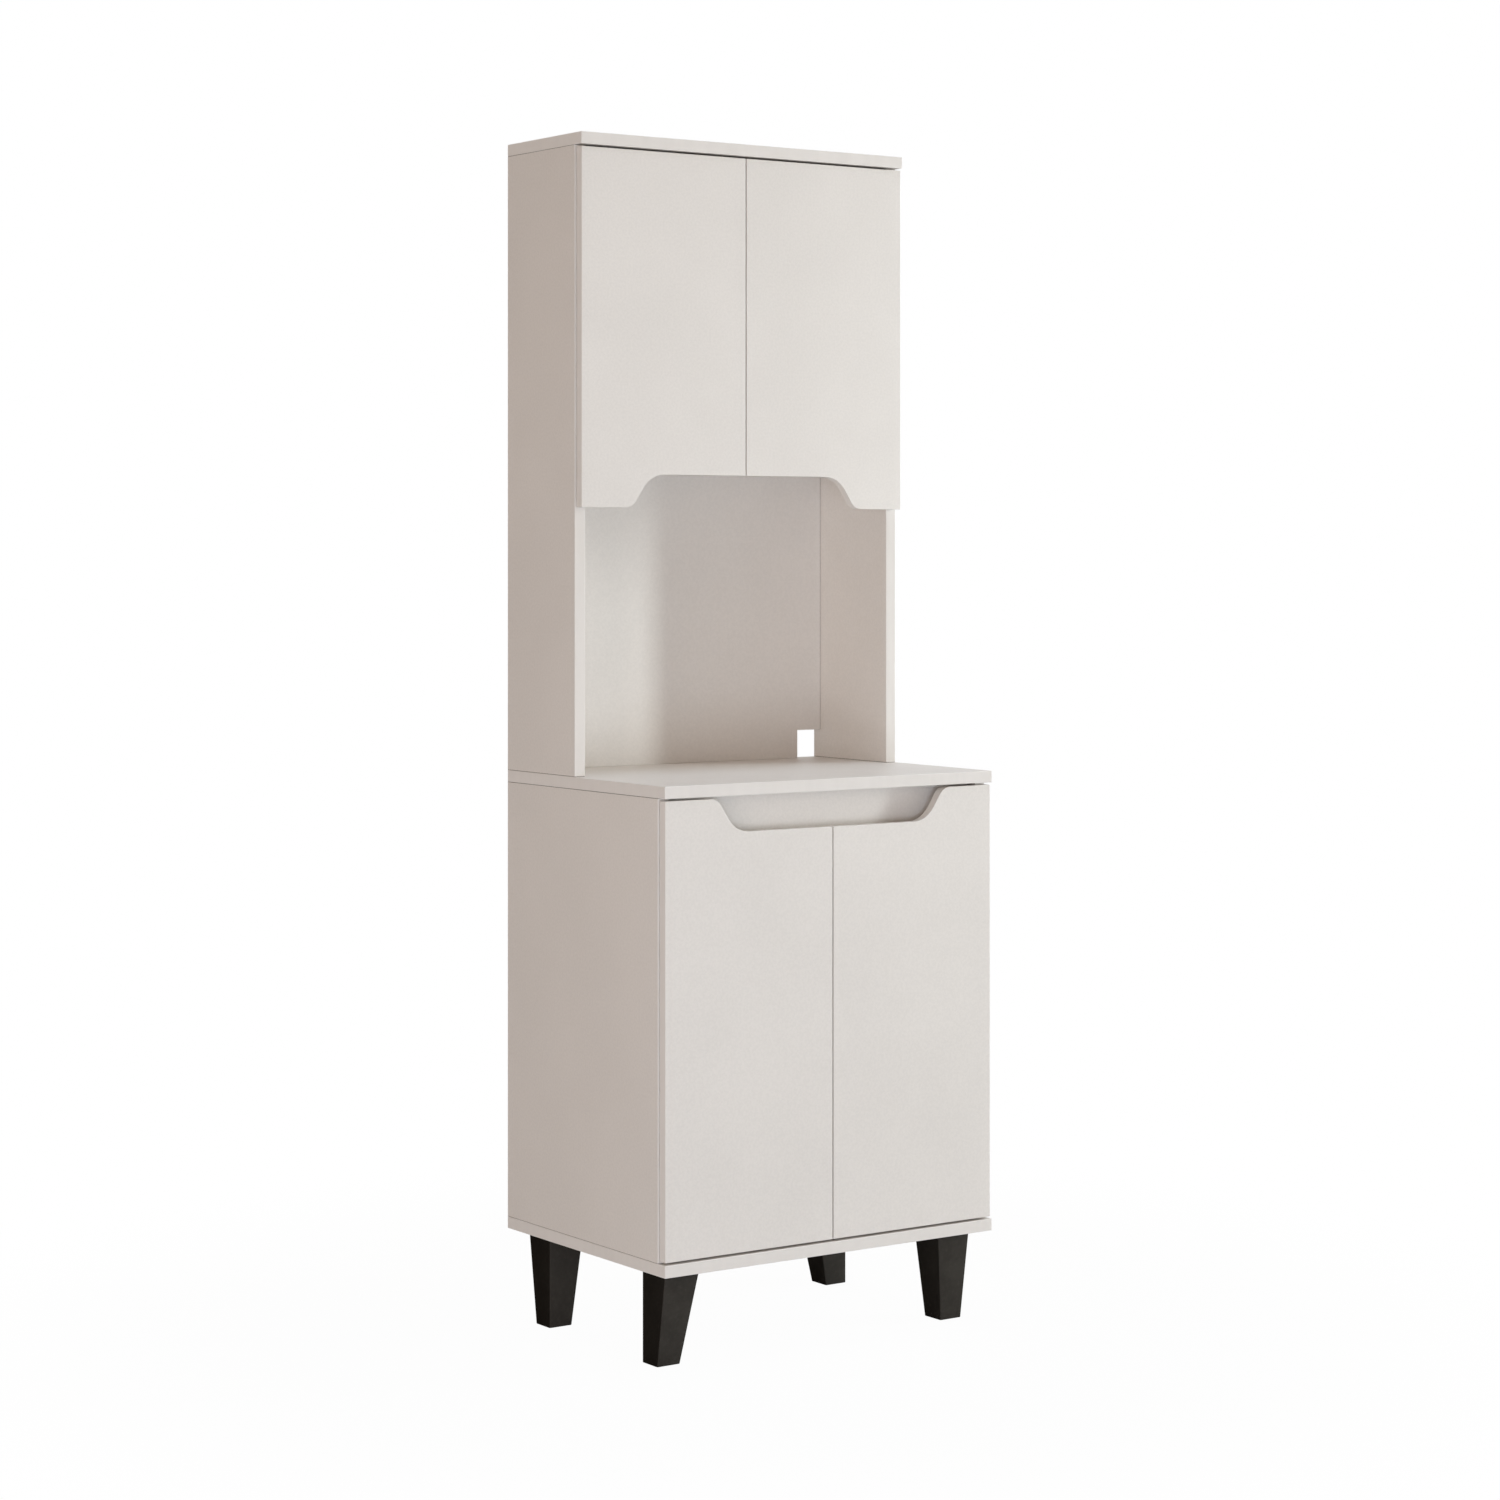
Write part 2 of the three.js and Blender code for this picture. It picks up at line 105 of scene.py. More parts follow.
# Rounds the outer edges that are sharper than the shape's angle. Bare faces keep their edges.
def roundEdges(mesh, shape, roundedIndex=0, bareIndex=None, clamp=False):
    edges = [
        edge for edge in mesh.edges
        if len(edge.link_faces) == 2 and edge.is_convex
        and edge.calc_face_angle() > math.radians(shape["sharpAngle"])
        and all(face.material_index != bareIndex for face in edge.link_faces)
    ]
    bmesh.ops.bevel(
        mesh, geom=edges, offset=shape["edgeRadius"], offset_type="OFFSET",
        segments=shape["edgeSegments"], profile=0.5, affect="EDGES", clamp_overlap=clamp,
        material=roundedIndex, loop_slide=True,
    )
    mesh.normal_update()


def smoothShade(piece, degrees):
    piece.data.shade_smooth()
    piece.data.set_sharp_from_angle(angle=math.radians(degrees))


# One output socket of a node tree. Sums and products written with it become Math nodes.
class Wire:
    def __init__(self, tree, socket=None):
        self.tree = tree
        self.socket = socket

    # A socket by its place, or by its name among those that the node's settings leave in use.
    @staticmethod
    def find(sockets, key):
        if isinstance(key, int):
            return sockets[key]
        return next(socket for socket in sockets if socket.name == key and socket.enabled)

    # Settings go in first, then the sockets. A list holds the links of one socket.
    def add(self, kind, settings=None, sockets=None, output=0):
        node = self.tree.nodes.new(kind)
        for name, value in (settings or {}).items():
            setattr(node, name, value)
        for key, value in (sockets or {}).items():
            socket = Wire.find(node.inputs, key)
            for part in value if isinstance(value, list) else [value]:
                if isinstance(part, Wire):
                    self.tree.links.new(part.socket, socket)
                else:
                    socket.default_value = part
        return Wire(self.tree, Wire.find(node.outputs, output) if node.outputs else None)

    # Another output of the same node.
    def also(self, output):
        return Wire(self.tree, Wire.find(self.socket.node.outputs, output))

    def math(self, operation, left, right):
        return self.add("ShaderNodeMath", {"operation": operation}, {0: left, 1: right})

    def __add__(self, other):
        return self.math("ADD", self, other)

    def __radd__(self, other):
        return self.math("ADD", other, self)

    def __sub__(self, other):
        return self.math("SUBTRACT", self, other)

    def __rsub__(self, other):
        return self.math("SUBTRACT", other, self)

    def __mul__(self, other):
        return self.math("MULTIPLY", self, other)

    def __rmul__(self, other):
        return self.math("MULTIPLY", other, self)

    def __truediv__(self, other):
        return self.math("DIVIDE", self, other)

    def __rtruediv__(self, other):
        return self.math("DIVIDE", other, self)


# Every pattern starts from Object coordinates, so its scale is per metre.
def startMaterial(name):
    material = bpy.data.materials.new(name)
    material.use_nodes = True
    material.node_tree.nodes.clear()
    place = Wire(material.node_tree).add("ShaderNodeTexCoord", output="Object")
    return material, place


def closeMaterial(place, sockets):
    shader = place.add("ShaderNodeBsdfPrincipled", None, sockets)
    place.add("ShaderNodeOutputMaterial", None, {"Surface": shader})


def noise(place, scale, detail, roughness, stretch=None):
    where = place
    if stretch:
        where = place.add("ShaderNodeMapping", None, {"Vector": place, "Scale": stretch})
    return place.add("ShaderNodeTexNoise", None, {
        "Vector": where, "Scale": scale, "Detail": detail, "Roughness": roughness,
    })


# Runs smoothly from 0 to 1 between two values of a pattern.
def spread(pattern, low=0.3, high=0.7):
    return pattern.add("ShaderNodeMapRange", {"interpolation_type": "SMOOTHSTEP"}, {
        "Value": pattern, "From Min": low, "From Max": high,
    })


# A noise lies around 0.5, so this runs by half the amount to both sides of zero.
def swing(pattern, amount):
    return (pattern - 0.5) * amount


# The colour, in its darker shade where the factor is 0 and in its lighter one where it is 1.
def shadedColour(factor, colour, shades):
    dark, light = (
        tuple(min(1.0, channel * shade) for channel in colour) + (1.0,) for shade in shades
    )
    return factor.add("ShaderNodeMix", {"data_type": "RGBA"}, {
        "Factor": factor, "A": dark, "B": light,
    }, "Result")


def bump(height, distance, strength):
    return height.add("ShaderNodeBump", None, {
        "Height": height, "Distance": distance, "Strength": strength,
    })


laminateLook = {
    "board": {"colour": (0.745, 0.700, 0.660), "roughness": 0.46},
    "door": {"colour": (0.745, 0.703, 0.666), "roughness": 0.40},
    "cloud": {"scale": 4.5, "detail": 3.0, "roughness": 0.55},     # soft light and dark areas
    "cloudShade": 0.035,
    "fleck": {"scale": 260.0, "detail": 2.0, "roughness": 0.6},    # mottling of the printed paper
    "fleckShade": 0.045,
    "wipe": {"scale": 9.0, "detail": 4.0, "roughness": 0.6, "stretch": (1.0, 1.0, 0.25)},
    "wipeRoughness": 0.10,                                         # upright marks of wiping
    "peel": {"scale": 900.0, "detail": 2.0, "roughness": 0.5},     # press texture of the foil
    "peelHeight": 0.03 * millimetre,
    "peelStrength": 0.35,
}


# Melamine foil: clouded and finely flecked, with a pressed satin texture.
def laminateMaterial(name, colour, roughness):
    look = laminateLook
    material, place = startMaterial(name)
    cloud = noise(place, **look["cloud"])
    fleck = noise(place, **look["fleck"])
    wipe = noise(place, **look["wipe"])
    factor = spread(cloud) * look["cloudShade"] + spread(fleck) * look["fleckShade"]
    total = look["cloudShade"] + look["fleckShade"]
    peel = noise(place, **look["peel"])
    closeMaterial(place, {
        "Base Color": shadedColour(factor / total, colour, (1 - total / 2, 1 + total / 2)),
        "Roughness": roughness + swing(wipe, look["wipeRoughness"]),
        "Normal": bump(peel, look["peelHeight"], look["peelStrength"]),
    })
    return material


bandLook = {
    "colour": (0.765, 0.724, 0.688),
    "paintedHighlightColour": (0.800, 0.765, 0.735),    # painted highlight: the trimmed corner of the band, paler than the band
    "shades": (0.985, 1.01),
    "streak": {"scale": 60.0, "detail": 3.0, "roughness": 0.5, "stretch": (1.0, 1.0, 0.1)},
    "roughness": 0.34,
    "streakRoughness": 0.08,
    "grain": {"scale": 700.0, "detail": 1.0, "roughness": 0.5},
    "grainHeight": 0.01 * millimetre,
    "grainStrength": 0.3,
}


# Edge band: plain plastic strip, a touch paler and smoother, with faint upright streaks.
def bandMaterial(name, colour):
    look = bandLook
    material, place = startMaterial(name)
    streak = noise(place, **look["streak"])
    grain = noise(place, **look["grain"])
    closeMaterial(place, {
        "Base Color": shadedColour(spread(streak), colour, look["shades"]),
        "Roughness": look["roughness"] + swing(streak, look["streakRoughness"]),
        "Normal": bump(grain, look["grainHeight"], look["grainStrength"]),
    })
    return material


coreLook = {
    "colour": (0.300, 0.205, 0.125),
    "shades": (0.7, 1.5),
    "chipScale": 420.0,
    "chipRange": (0.1, 0.8),
    "chipShare": 0.7,                        # of the colour's pattern; the rest is dust
    "chipDepth": 0.3 * millimetre,
    "chipStrength": 0.8,
    "dust": {"scale": 1500.0, "detail": 2.0, "roughness": 0.6},
    "roughness": 0.82,
    "dustRoughness": 0.1,
}


# Bare chipboard, seen in the pin holes, grooves and cup bores.
def coreMaterial(name):
    look = coreLook
    material, place = startMaterial(name)
    chips = place.add("ShaderNodeTexVoronoi", None, {
        "Vector": place, "Scale": look["chipScale"],
    }, "Distance")
    dust = noise(place, **look["dust"])
    factor = spread(chips, *look["chipRange"]) * look["chipShare"] + dust * (1 - look["chipShare"])
    closeMaterial(place, {
        "Base Color": shadedColour(factor, look["colour"], look["shades"]),
        "Roughness": look["roughness"] + swing(dust, look["dustRoughness"]),
        "Normal": bump(chips, look["chipDepth"], look["chipStrength"]),
    })
    return material


# Painted shade for the joints between boards.
paintedShadeSeamLook = {
    "colour": (0.170, 0.145, 0.125),
    "shades": (0.7, 1.5),
    "dust": {"scale": 300.0, "detail": 3.0, "roughness": 0.6},
    "roughness": 0.85,
    "dustRoughness": 0.1,
    "dustHeight": 0.05 * millimetre,
    "dustStrength": 0.4,
}


# Painted shade in the joint between two boards: dull and much darker than the foil, mottled like
# dust.
def paintedShadeSeamMaterial(name):
    look = paintedShadeSeamLook
    material, place = startMaterial(name)
    dust = noise(place, **look["dust"])
    closeMaterial(place, {
        "Base Color": shadedColour(spread(dust), look["colour"], look["shades"]),
        "Roughness": look["roughness"] + swing(dust, look["dustRoughness"]),
        "Normal": bump(dust, look["dustHeight"], look["dustStrength"]),
    })
    return material


plasticLook = {
    "front": {"colour": (0.0480, 0.0436, 0.0384), "roughness": 0.46, "grainStrength": 0.5},
    # painted shade and light: the side faces are painted a deeper black than the front and back
    # ones, which are painted paler, as the light falls on them
    "side": {"colour": (0.0170, 0.0149, 0.0126), "roughness": 0.46, "grainStrength": 0.5},
    "corner": {"colour": (0.0420, 0.0385, 0.0340), "roughness": 0.36, "grainStrength": 0.25},
    "shades": (0.91, 1.27),
    "cloud": {"scale": 22.0, "detail": 4.0, "roughness": 0.6},
    "cloudShare": 0.6,                       # of the colour's pattern; the rest is dust
    "cloudRoughness": 0.16,
    "dust": {"scale": 160.0, "detail": 3.0, "roughness": 0.65},
    "dustRange": (0.45, 0.75),
    "grain": {"scale": 1400.0, "detail": 2.0, "roughness": 0.5},
    "grainRoughness": 0.08,
    "grainHeight": 0.06 * millimetre,
    "specular": 0.0,
}


# Moulded black plastic with a spark-eroded grain, which is finer on the rubbed corners.
def plasticMaterial(name, colour, roughness, grainStrength):
    look = plasticLook
    material, place = startMaterial(name)
    cloud = noise(place, **look["cloud"])
    dust = noise(place, **look["dust"])
    grain = noise(place, **look["grain"])
    factor = (spread(cloud) * look["cloudShare"]
              + spread(dust, *look["dustRange"]) * (1 - look["cloudShare"]))
    closeMaterial(place, {
        "Base Color": shadedColour(factor, colour, look["shades"]),
        "Roughness": (roughness + swing(cloud, look["cloudRoughness"])
                      + swing(grain, look["grainRoughness"])),
        "Specular IOR Level": look["specular"],
        "Normal": bump(grain, look["grainHeight"], grainStrength),
    })
    return material


steelLook = {
    "hinge": {"colour": (0.62, 0.61, 0.59), "roughness": 0.30, "rolling": (1.0, 0.06, 1.0)},
    "pin": {"colour": (0.66, 0.65, 0.62), "roughness": 0.26, "rolling": (0.3, 1.0, 1.0)},
    "screw": {"colour": (0.60, 0.58, 0.53), "roughness": 0.34, "rolling": (1.0, 1.0, 1.0)},
    "shades": (0.86, 1.08),
    "stain": {"scale": 90.0, "detail": 4.0, "roughness": 0.6},
    "stainRange": (0.25, 0.75),
    "stainRoughness": 0.10,
    "metallic": 0.96,
    "stainMetallic": 0.06,
    "lines": {"scale": 900.0, "detail": 2.0, "roughness": 0.5},
    "lineRoughness": 0.16,
    "lineHeight": 0.02 * millimetre,
    "lineStrength": 0.5,
}


# Nickel or zinc plate, faintly stained. Its rolling lines run along the axis of least scale.
def steelMaterial(name, colour, roughness, rolling):
    look = steelLook
    material, place = startMaterial(name)
    stain = noise(place, **look["stain"])
    lines = noise(place, **look["lines"], stretch=rolling)
    closeMaterial(place, {
        "Base Color": shadedColour(spread(stain, *look["stainRange"]), colour, look["shades"]),
        "Metallic": look["metallic"] + swing(stain, look["stainMetallic"]),
        "Roughness": (roughness + swing(lines, look["lineRoughness"])
                      + swing(stain, look["stainRoughness"])),
        "Normal": bump(lines, look["lineHeight"], look["lineStrength"]),
    })
    return material


softPlasticLook = {
    "cap": {"colour": (0.70, 0.66, 0.61), "roughness": 0.42},
    "bumper": {"colour": (0.55, 0.54, 0.52), "roughness": 0.24},
    "shades": (0.96, 1.03),
    "swirl": {"scale": 240.0, "detail": 3.0, "roughness": 0.6},
    "swirlRoughness": 0.10,
    "grain": {"scale": 2600.0, "detail": 1.0, "roughness": 0.5},
    "grainHeight": 0.03 * millimetre,
    "grainStrength": 0.4,
}


# Cover caps and bumpers: small moulded pieces in the cabinet's own tone.
def softPlasticMaterial(name, colour, roughness):
    look = softPlasticLook
    material, place = startMaterial(name)
    swirl = noise(place, **look["swirl"])
    grain = noise(place, **look["grain"])
    closeMaterial(place, {
        "Base Color": shadedColour(spread(swirl), colour, look["shades"]),
        "Roughness": roughness + swing(swirl, look["swirlRoughness"]),
        "Normal": bump(grain, look["grainHeight"], look["grainStrength"]),
    })
    return material


boardFinish = laminateMaterial("boardLaminate", **laminateLook["board"])
doorFinish = laminateMaterial("doorLaminate", **laminateLook["door"])
bandFinish = bandMaterial("edgeBand", bandLook["colour"])
# A paler copy of the band for the rounded arrises: a painted highlight.
paintedHighlightFinish = bandMaterial("edgeBandPaintedHighlight", bandLook["paintedHighlightColour"])
coreFinish = coreMaterial("chipboardCore")
paintedShadeSeamFinish = paintedShadeSeamMaterial("paintedShadeJointLine")
# The legs' front and side plastics are lit and shaded copies of one plastic: painted light on the
# fronts, painted shade on the sides.
legPaintedLightFrontFinish = plasticMaterial("legFrontPlastic", **plasticLook["front"])
legPaintedShadeSideFinish = plasticMaterial("legSidePlastic", **plasticLook["side"])
legCornerFinish = plasticMaterial("legCornerPlastic", **plasticLook["corner"])
hingeFinish = steelMaterial("hingeNickel", **steelLook["hinge"])
pinFinish = steelMaterial("pinNickel", **steelLook["pin"])
screwFinish = steelMaterial("screwZinc", **steelLook["screw"])
capFinish = softPlasticMaterial("capPlastic", **softPlasticLook["cap"])
bumperFinish = softPlasticMaterial("bumperPlastic", **softPlasticLook["bumper"])
print("materials made")


# A piece's finishes stand in the order of its material slots.
def finishIndex(finishes, name):
    return list(finishes).index(name)


faceTest = {"leastNormal": 0.99, "tolerance": 0.05 * millimetre}


# Whether a face lies flat on the outside of its board, square to an axis.
def isOutside(face, axis, low, high):
    outer = high[axis] if face.normal[axis] > 0 else low[axis]
    offset = abs(face.calc_center_median()[axis] - outer)
    return abs(face.normal[axis]) >= faceTest["leastNormal"] and offset <= faceTest["tolerance"]


boardShape = {
    "edgeRadius": 0.7 * millimetre,          # of the edge band's trimmed arris
    "edgeSegments": 2,
    "sharpAngle": 40,
    "bandedCutOut": "hutch_back_panel",      # its cut-out for a cable is banded, not bare
    "endNormal": 0.1,                        # least lean of a joint line's face to the board's end
}
boardFinishes = {
    "wide": boardFinish, "band": bandFinish, "core": coreFinish, "seam": paintedShadeSeamFinish,
    "arris": paintedHighlightFinish,
}
carcassBoards = [
    "base_left_side", "base_right_side", "hutch_left_side", "hutch_right_side",
    "bottom_panel", "worktop", "top_panel", "upper_cupboard_floor", "front_rail",
    "base_back_panel", "hutch_back_panel", "base_shelf", "upper_shelf",
]
# The axis along which a board's cut ends meet its neighbours, in a fine line of painted shade.
shadedSeamEnds = {
    "base_left_side": axisZ, "base_right_side": axisZ,
    "hutch_left_side": axisZ, "hutch_right_side": axisZ,
    "upper_cupboard_floor": axisX, "front_rail": axisX, "hutch_back_panel": axisX,
}


# The wide faces are laminated, the edges banded, and the insides of holes and grooves bare.
def boardFaceFinish(face, low, high, thinAxis):
    along = max(range(3), key=lambda axis: abs(face.normal[axis]))
    if not isOutside(face, along, low, high):
        return "core"
    return "wide" if along == thinAxis else "band"


# Paints the joint's shade on the faces at a board's cut ends.
def paintSeamShade(mesh, low, high, axis):
    for face in mesh.faces:
        reach = face.calc_center_median()[axis]
        nearEnd = min(reach - low[axis], high[axis] - reach) < boardShape["edgeRadius"]
        if nearEnd and abs(face.normal[axis]) > boardShape["endNormal"]:
            face.material_index = finishIndex(boardFinishes, "seam")


def dressBoard(node):
    low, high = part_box(node)
    size = high - low
    thinAxis = min(range(3), key=lambda axis: size[axis])
    mesh = openCopy(node)
    for face in mesh.faces:
        finish = boardFaceFinish(face, low, high, thinAxis)
        if finish == "core" and node == boardShape["bandedCutOut"]:
            finish = "band"
        face.material_index = finishIndex(boardFinishes, finish)
    # The rounded arrises get the painted highlight.
    arris, core = finishIndex(boardFinishes, "arris"), finishIndex(boardFinishes, "core")
    roundEdges(mesh, boardShape, arris, core)
    # The cut ends get the painted shade of the joint.
    if node in shadedSeamEnds:
        paintSeamShade(mesh, low, high, shadedSeamEnds[node])
    addPiece(node + "_laminated", mesh, "carcass", boardFinishes.values(), node)


for node in carcassBoards:
    dressBoard(node)
print("boards dressed:", len(carcassBoards))

hingePlaces = ("bottom", "top")
doorNames = [(tier, side) for tier in ("lower", "upper") for side in ("left", "right")]
doorShape = {
    "edgeRadius": 0.6 * millimetre,
    "edgeSegments": 3,
    "sharpAngle": 40,
    "boreClear": 19.0 * millimetre,          # faces this near a cup's centre belong to its bore
}
doorFinishes = {"wide": doorFinish, "band": bandFinish, "core": coreFinish, "arris": paintedHighlightFinish}


# The insides of the cup bores are bare, and every other narrow face is banded.
def doorFaceFinish(face, low, high, cups):
    if isOutside(face, axisY, low, high):
        return "wide"
    centre = face.calc_center_median()
    reach = min(math.hypot(centre.x - cup.x, centre.z - cup.z) for cup in cups)
    return "core" if reach < doorShape["boreClear"] else "band"


def dressDoor(tier, side):
    node = f"{tier}_{side}_door"
    low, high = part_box(node)
    cups = [nodeMiddle(f"{tier}_{side}_{place}_hinge_cup") for place in hingePlaces]
    mesh = openCopy(node)
    for face in mesh.faces:
        finish = doorFaceFinish(face, low, high, cups)
        face.material_index = finishIndex(doorFinishes, finish)
    # The rounded arrises get the painted highlight.
    arris, core = finishIndex(doorFinishes, "arris"), finishIndex(doorFinishes, "core")
    roundEdges(mesh, doorShape, arris, core)
    addPiece(node + "_laminated", mesh, node, doorFinishes.values(), node)


for tier, side in doorNames:
    dressDoor(tier, side)
print("doors dressed:", len(doorNames))

legPlaces = ("front_left", "front_right", "back_left", "back_right")
legShape = {
    "edgeRadius": 0.9 * millimetre,
    "edgeSegments": 3,
    "sharpAngle": 60,
    "paintedShadeSideNormal": 0.7,                       # a face that looks more than this along X is a side
    "smoothAngle": 50,
}
legFinishes = {"front": legPaintedLightFrontFinish, "side": legPaintedShadeSideFinish, "corner": legCornerFinish}


def dressLeg(node):
    mesh = openCopy(node)
    # Painted shade and light: faces along X get the darker side black, and the others get the paler
    # front black.
    for face in mesh.faces:
        finish = "side" if abs(face.normal.x) > legShape["paintedShadeSideNormal"] else "front"
        face.material_index = finishIndex(legFinishes, finish)
    roundEdges(mesh, legShape, finishIndex(legFinishes, "corner"), clamp=True)
    piece = addPiece(node + "_moulded", mesh, "carcass",
                     legFinishes.values(), node)
    smoothShade(piece, legShape["smoothAngle"])


for place in legPlaces:
    dressLeg(place + "_leg")
print("legs dressed")

steelShape = {
    "edgeRadius": 0.18 * millimetre,
    "edgeSegments": 1,
    "sharpAngle": 52,
    "smoothAngle": 34,
}


def dressSteel(node, body, finish):
    mesh = openCopy(node)
    roundEdges(mesh, steelShape, clamp=True)
    mergeVertices(mesh, meshMending["sliverDistance"])
    piece = addPiece(node + "_plated", mesh, body, [finish], node)
    smoothShade(piece, steelShape["smoothAngle"])


for tier, side in doorNames:
    for place in hingePlaces:
        stem = f"{tier}_{side}_{place}_hinge_"
        dressSteel(stem + "cup", f"{tier}_{side}_door", hingeFinish)
        dressSteel(stem + "arm", "carcass", hingeFinish)
        dressSteel(stem + "link", f"{tier}_{side}_hinge_links", hingeFinish)
for shelf in ("base_shelf", "upper_shelf"):
    for place in ("front", "back"):
        for side in ("left", "right"):
            dressSteel(f"{shelf}_pin_{place}_{side}", "carcass", pinFinish)
print("hinges and pins dressed")

# Screws, caps and bumpers grow on points. Their profiles hold shares of height and of radius.
headMaking = {"seed": 7, "smoothAngle": 30}


# A tree with an input for the points, for each size and for the finish, and one output.
def startTree(name, sizes):
    tree = bpy.data.node_groups.new(name, "GeometryNodeTree")
    tree.interface.new_socket(name="Points", in_out="INPUT", socket_type="NodeSocketGeometry")
    for label, size in sizes.items():
        kind = "NodeSocketInt" if isinstance(size, int) else "NodeSocketFloat"
        socket = tree.interface.new_socket(name=label, in_out="INPUT", socket_type=kind)
        socket.default_value = size
    tree.interface.new_socket(name="Finish", in_out="INPUT", socket_type="NodeSocketMaterial")
    tree.interface.new_socket(name="Heads", in_out="OUTPUT", socket_type="NodeSocketGeometry")
    return Wire(tree).add("NodeGroupInput", output="Points")


def raised(shape, lift):
    upwards = shape.add("ShaderNodeCombineXYZ", None, {"Z": lift})
    return shape.add("GeometryNodeTransform", None, {"Geometry": shape, "Translation": upwards})


# Frustums stacked along a profile and joined into one solid.
def turnedSolid(points, sides, radius, height, profile):
    layers = []
    for (foot, footRadius), (top, topRadius) in zip(profile, profile[1:]):
        layer = points.add("GeometryNodeMeshCone", {"fill_type": "NGON"}, {
            "Vertices": sides, "Radius Top": radius * topRadius,
            "Radius Bottom": radius * footRadius, "Depth": height * (top - foot),
        })
        layers.append(raised(layer, height * foot))
    return points.add("GeometryNodeMeshBoolean", {"operation": "UNION", "solver": "EXACT"}, {
        "Mesh": layers,
    })


# Puts the head on every point, along the point's own direction and turned at random about it.
def scatterOnPoints(points, head):
    facing = points.add("GeometryNodeInputNamedAttribute", {"data_type": "FLOAT_VECTOR"}, {
        "Name": "facing",
    })
    aimed = points.add("FunctionNodeAlignRotationToVector", {"axis": "Z"}, {"Vector": facing})
    placed = points.add("GeometryNodeInstanceOnPoints", None, {
        "Points": points, "Instance": head, "Rotation": aimed,
    })
    angle = points.add("FunctionNodeRandomValue", {"data_type": "FLOAT"}, {
        "Min": 0.0, "Max": 2 * math.pi, "Seed": headMaking["seed"],
    }, "Value")
    turn = points.add("ShaderNodeCombineXYZ", None, {"Z": angle})
    spun = points.add("GeometryNodeRotateInstances", None, {"Instances": placed, "Rotation": turn})
    real = points.add("GeometryNodeRealizeInstances", None, {"Geometry": spun})
    finished = points.add("GeometryNodeSetMaterial", None, {
        "Geometry": real, "Material": points.also("Finish"),
    })
    points.add("NodeGroupOutput", None, {"Heads": finished})


# Runs a tree over a list of (place, facing) spots and keeps the result as a plain mesh.
def growFasteners(name, tree, spots, sizes, finish, body):
    carrierMesh = bpy.data.meshes.new(name + "_points")
    carrierMesh.from_pydata([spot for spot, facing in spots], [], [])
    facingLayer = carrierMesh.attributes.new("facing", "FLOAT_VECTOR", "POINT")
    facingLayer.data.foreach_set("vector", [part for spot, facing in spots for part in facing])
    carrier = addObject(name + "_points", carrierMesh)
    modifier = carrier.modifiers.new("heads", "NODES")
    modifier.node_group = tree
    values = {**sizes, "Finish": finish}
    for item in tree.interface.items_tree:
        if item.name in values:
            modifier[item.identifier] = values[item.name]
    graph = bpy.context.evaluated_depsgraph_get()
    grown = bpy.data.meshes.new_from_object(carrier.evaluated_get(graph), depsgraph=graph)
    carrier.modifiers.remove(modifier)
    bpy.data.objects.remove(carrier)
    mesh = bmesh.new()
    mesh.from_mesh(grown)
    mergeVertices(mesh, meshMending["sliverDistance"])
    piece = addPiece(name, mesh, body, [finish])
    smoothShade(piece, headMaking["smoothAngle"])


# The way into the cabinet from one of its sides, along X.
def inwardFrom(side):
    return 1.0 if side == "left" else -1.0


# The place along X that lies so far in from a node's outer face, at one side of the cabinet.
def xFromSide(node, side, inset):
    low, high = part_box(node)
    return (low.x if side == "left" else high.x) + inwardFrom(side) * inset


# The place along X of a node's inner face.
def innerX(node, side):
    low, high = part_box(node)
    return high.x if side == "left" else low.x


screwShape = {
    "sides": 20,
    "profile": ((0.0, 1.0), (0.5, 1.0), (1.0, 0.62)),
    "crossMiddle": 0.95,                 # share of the head's height; the cross is one head high
    "cup": {"Head radius": 3.2 * millimetre, "Head height": 0.5 * millimetre,
            "Cross length": 3.6 * millimetre, "Cross width": 0.9 * millimetre},
    "plate": {"Head radius": 3.4 * millimetre, "Head height": 1.2 * millimetre,
              "Cross length": 4.0 * millimetre, "Cross width": 1.0 * millimetre},
    "arm": {"Head radius": 3.0 * millimetre, "Head height": 0.9 * millimetre,
            "Cross length": 3.8 * millimetre, "Cross width": 1.0 * millimetre},
    "legBolt": {"Head radius": 7.0 * millimetre, "Head height": 2.0 * millimetre,
                "Cross length": 6.5 * millimetre, "Cross width": 1.4 * millimetre},
    "cupScrewRise": 24 * millimetre,     # from the cup's centre, up and down
    "plateThickness": 2 * millimetre,
    "plateScrewRise": 16 * millimetre,
    "plateScrewFront": 21 * millimetre,  # in front of the arm's tail
    "armScrewFronts": (8 * millimetre, 27 * millimetre),    # the same for its two screws
}


# A low rounded head with a cross recess.
def screwTree():
    points = startTree("screwHeads", screwShape["plate"])
    radius, height = points.also("Head radius"), points.also("Head height")
    pan = turnedSolid(points, screwShape["sides"], radius, height, screwShape["profile"])
    length, width = points.also("Cross length"), points.also("Cross width")
    bars = []
    for across, along in ((length, width), (width, length)):
        size = points.add("ShaderNodeCombineXYZ", None, {"X": across, "Y": along, "Z": height})
        bar = points.add("GeometryNodeMeshCube", None, {"Size": size})
        bars.append(raised(bar, height * screwShape["crossMiddle"]))
    cutting = {"operation": "DIFFERENCE", "solver": "EXACT"}
    head = points.add("GeometryNodeMeshBoolean", cutting, {"Mesh 1": pan, "Mesh 2": bars})
    scatterOnPoints(points, head)
    return points.tree


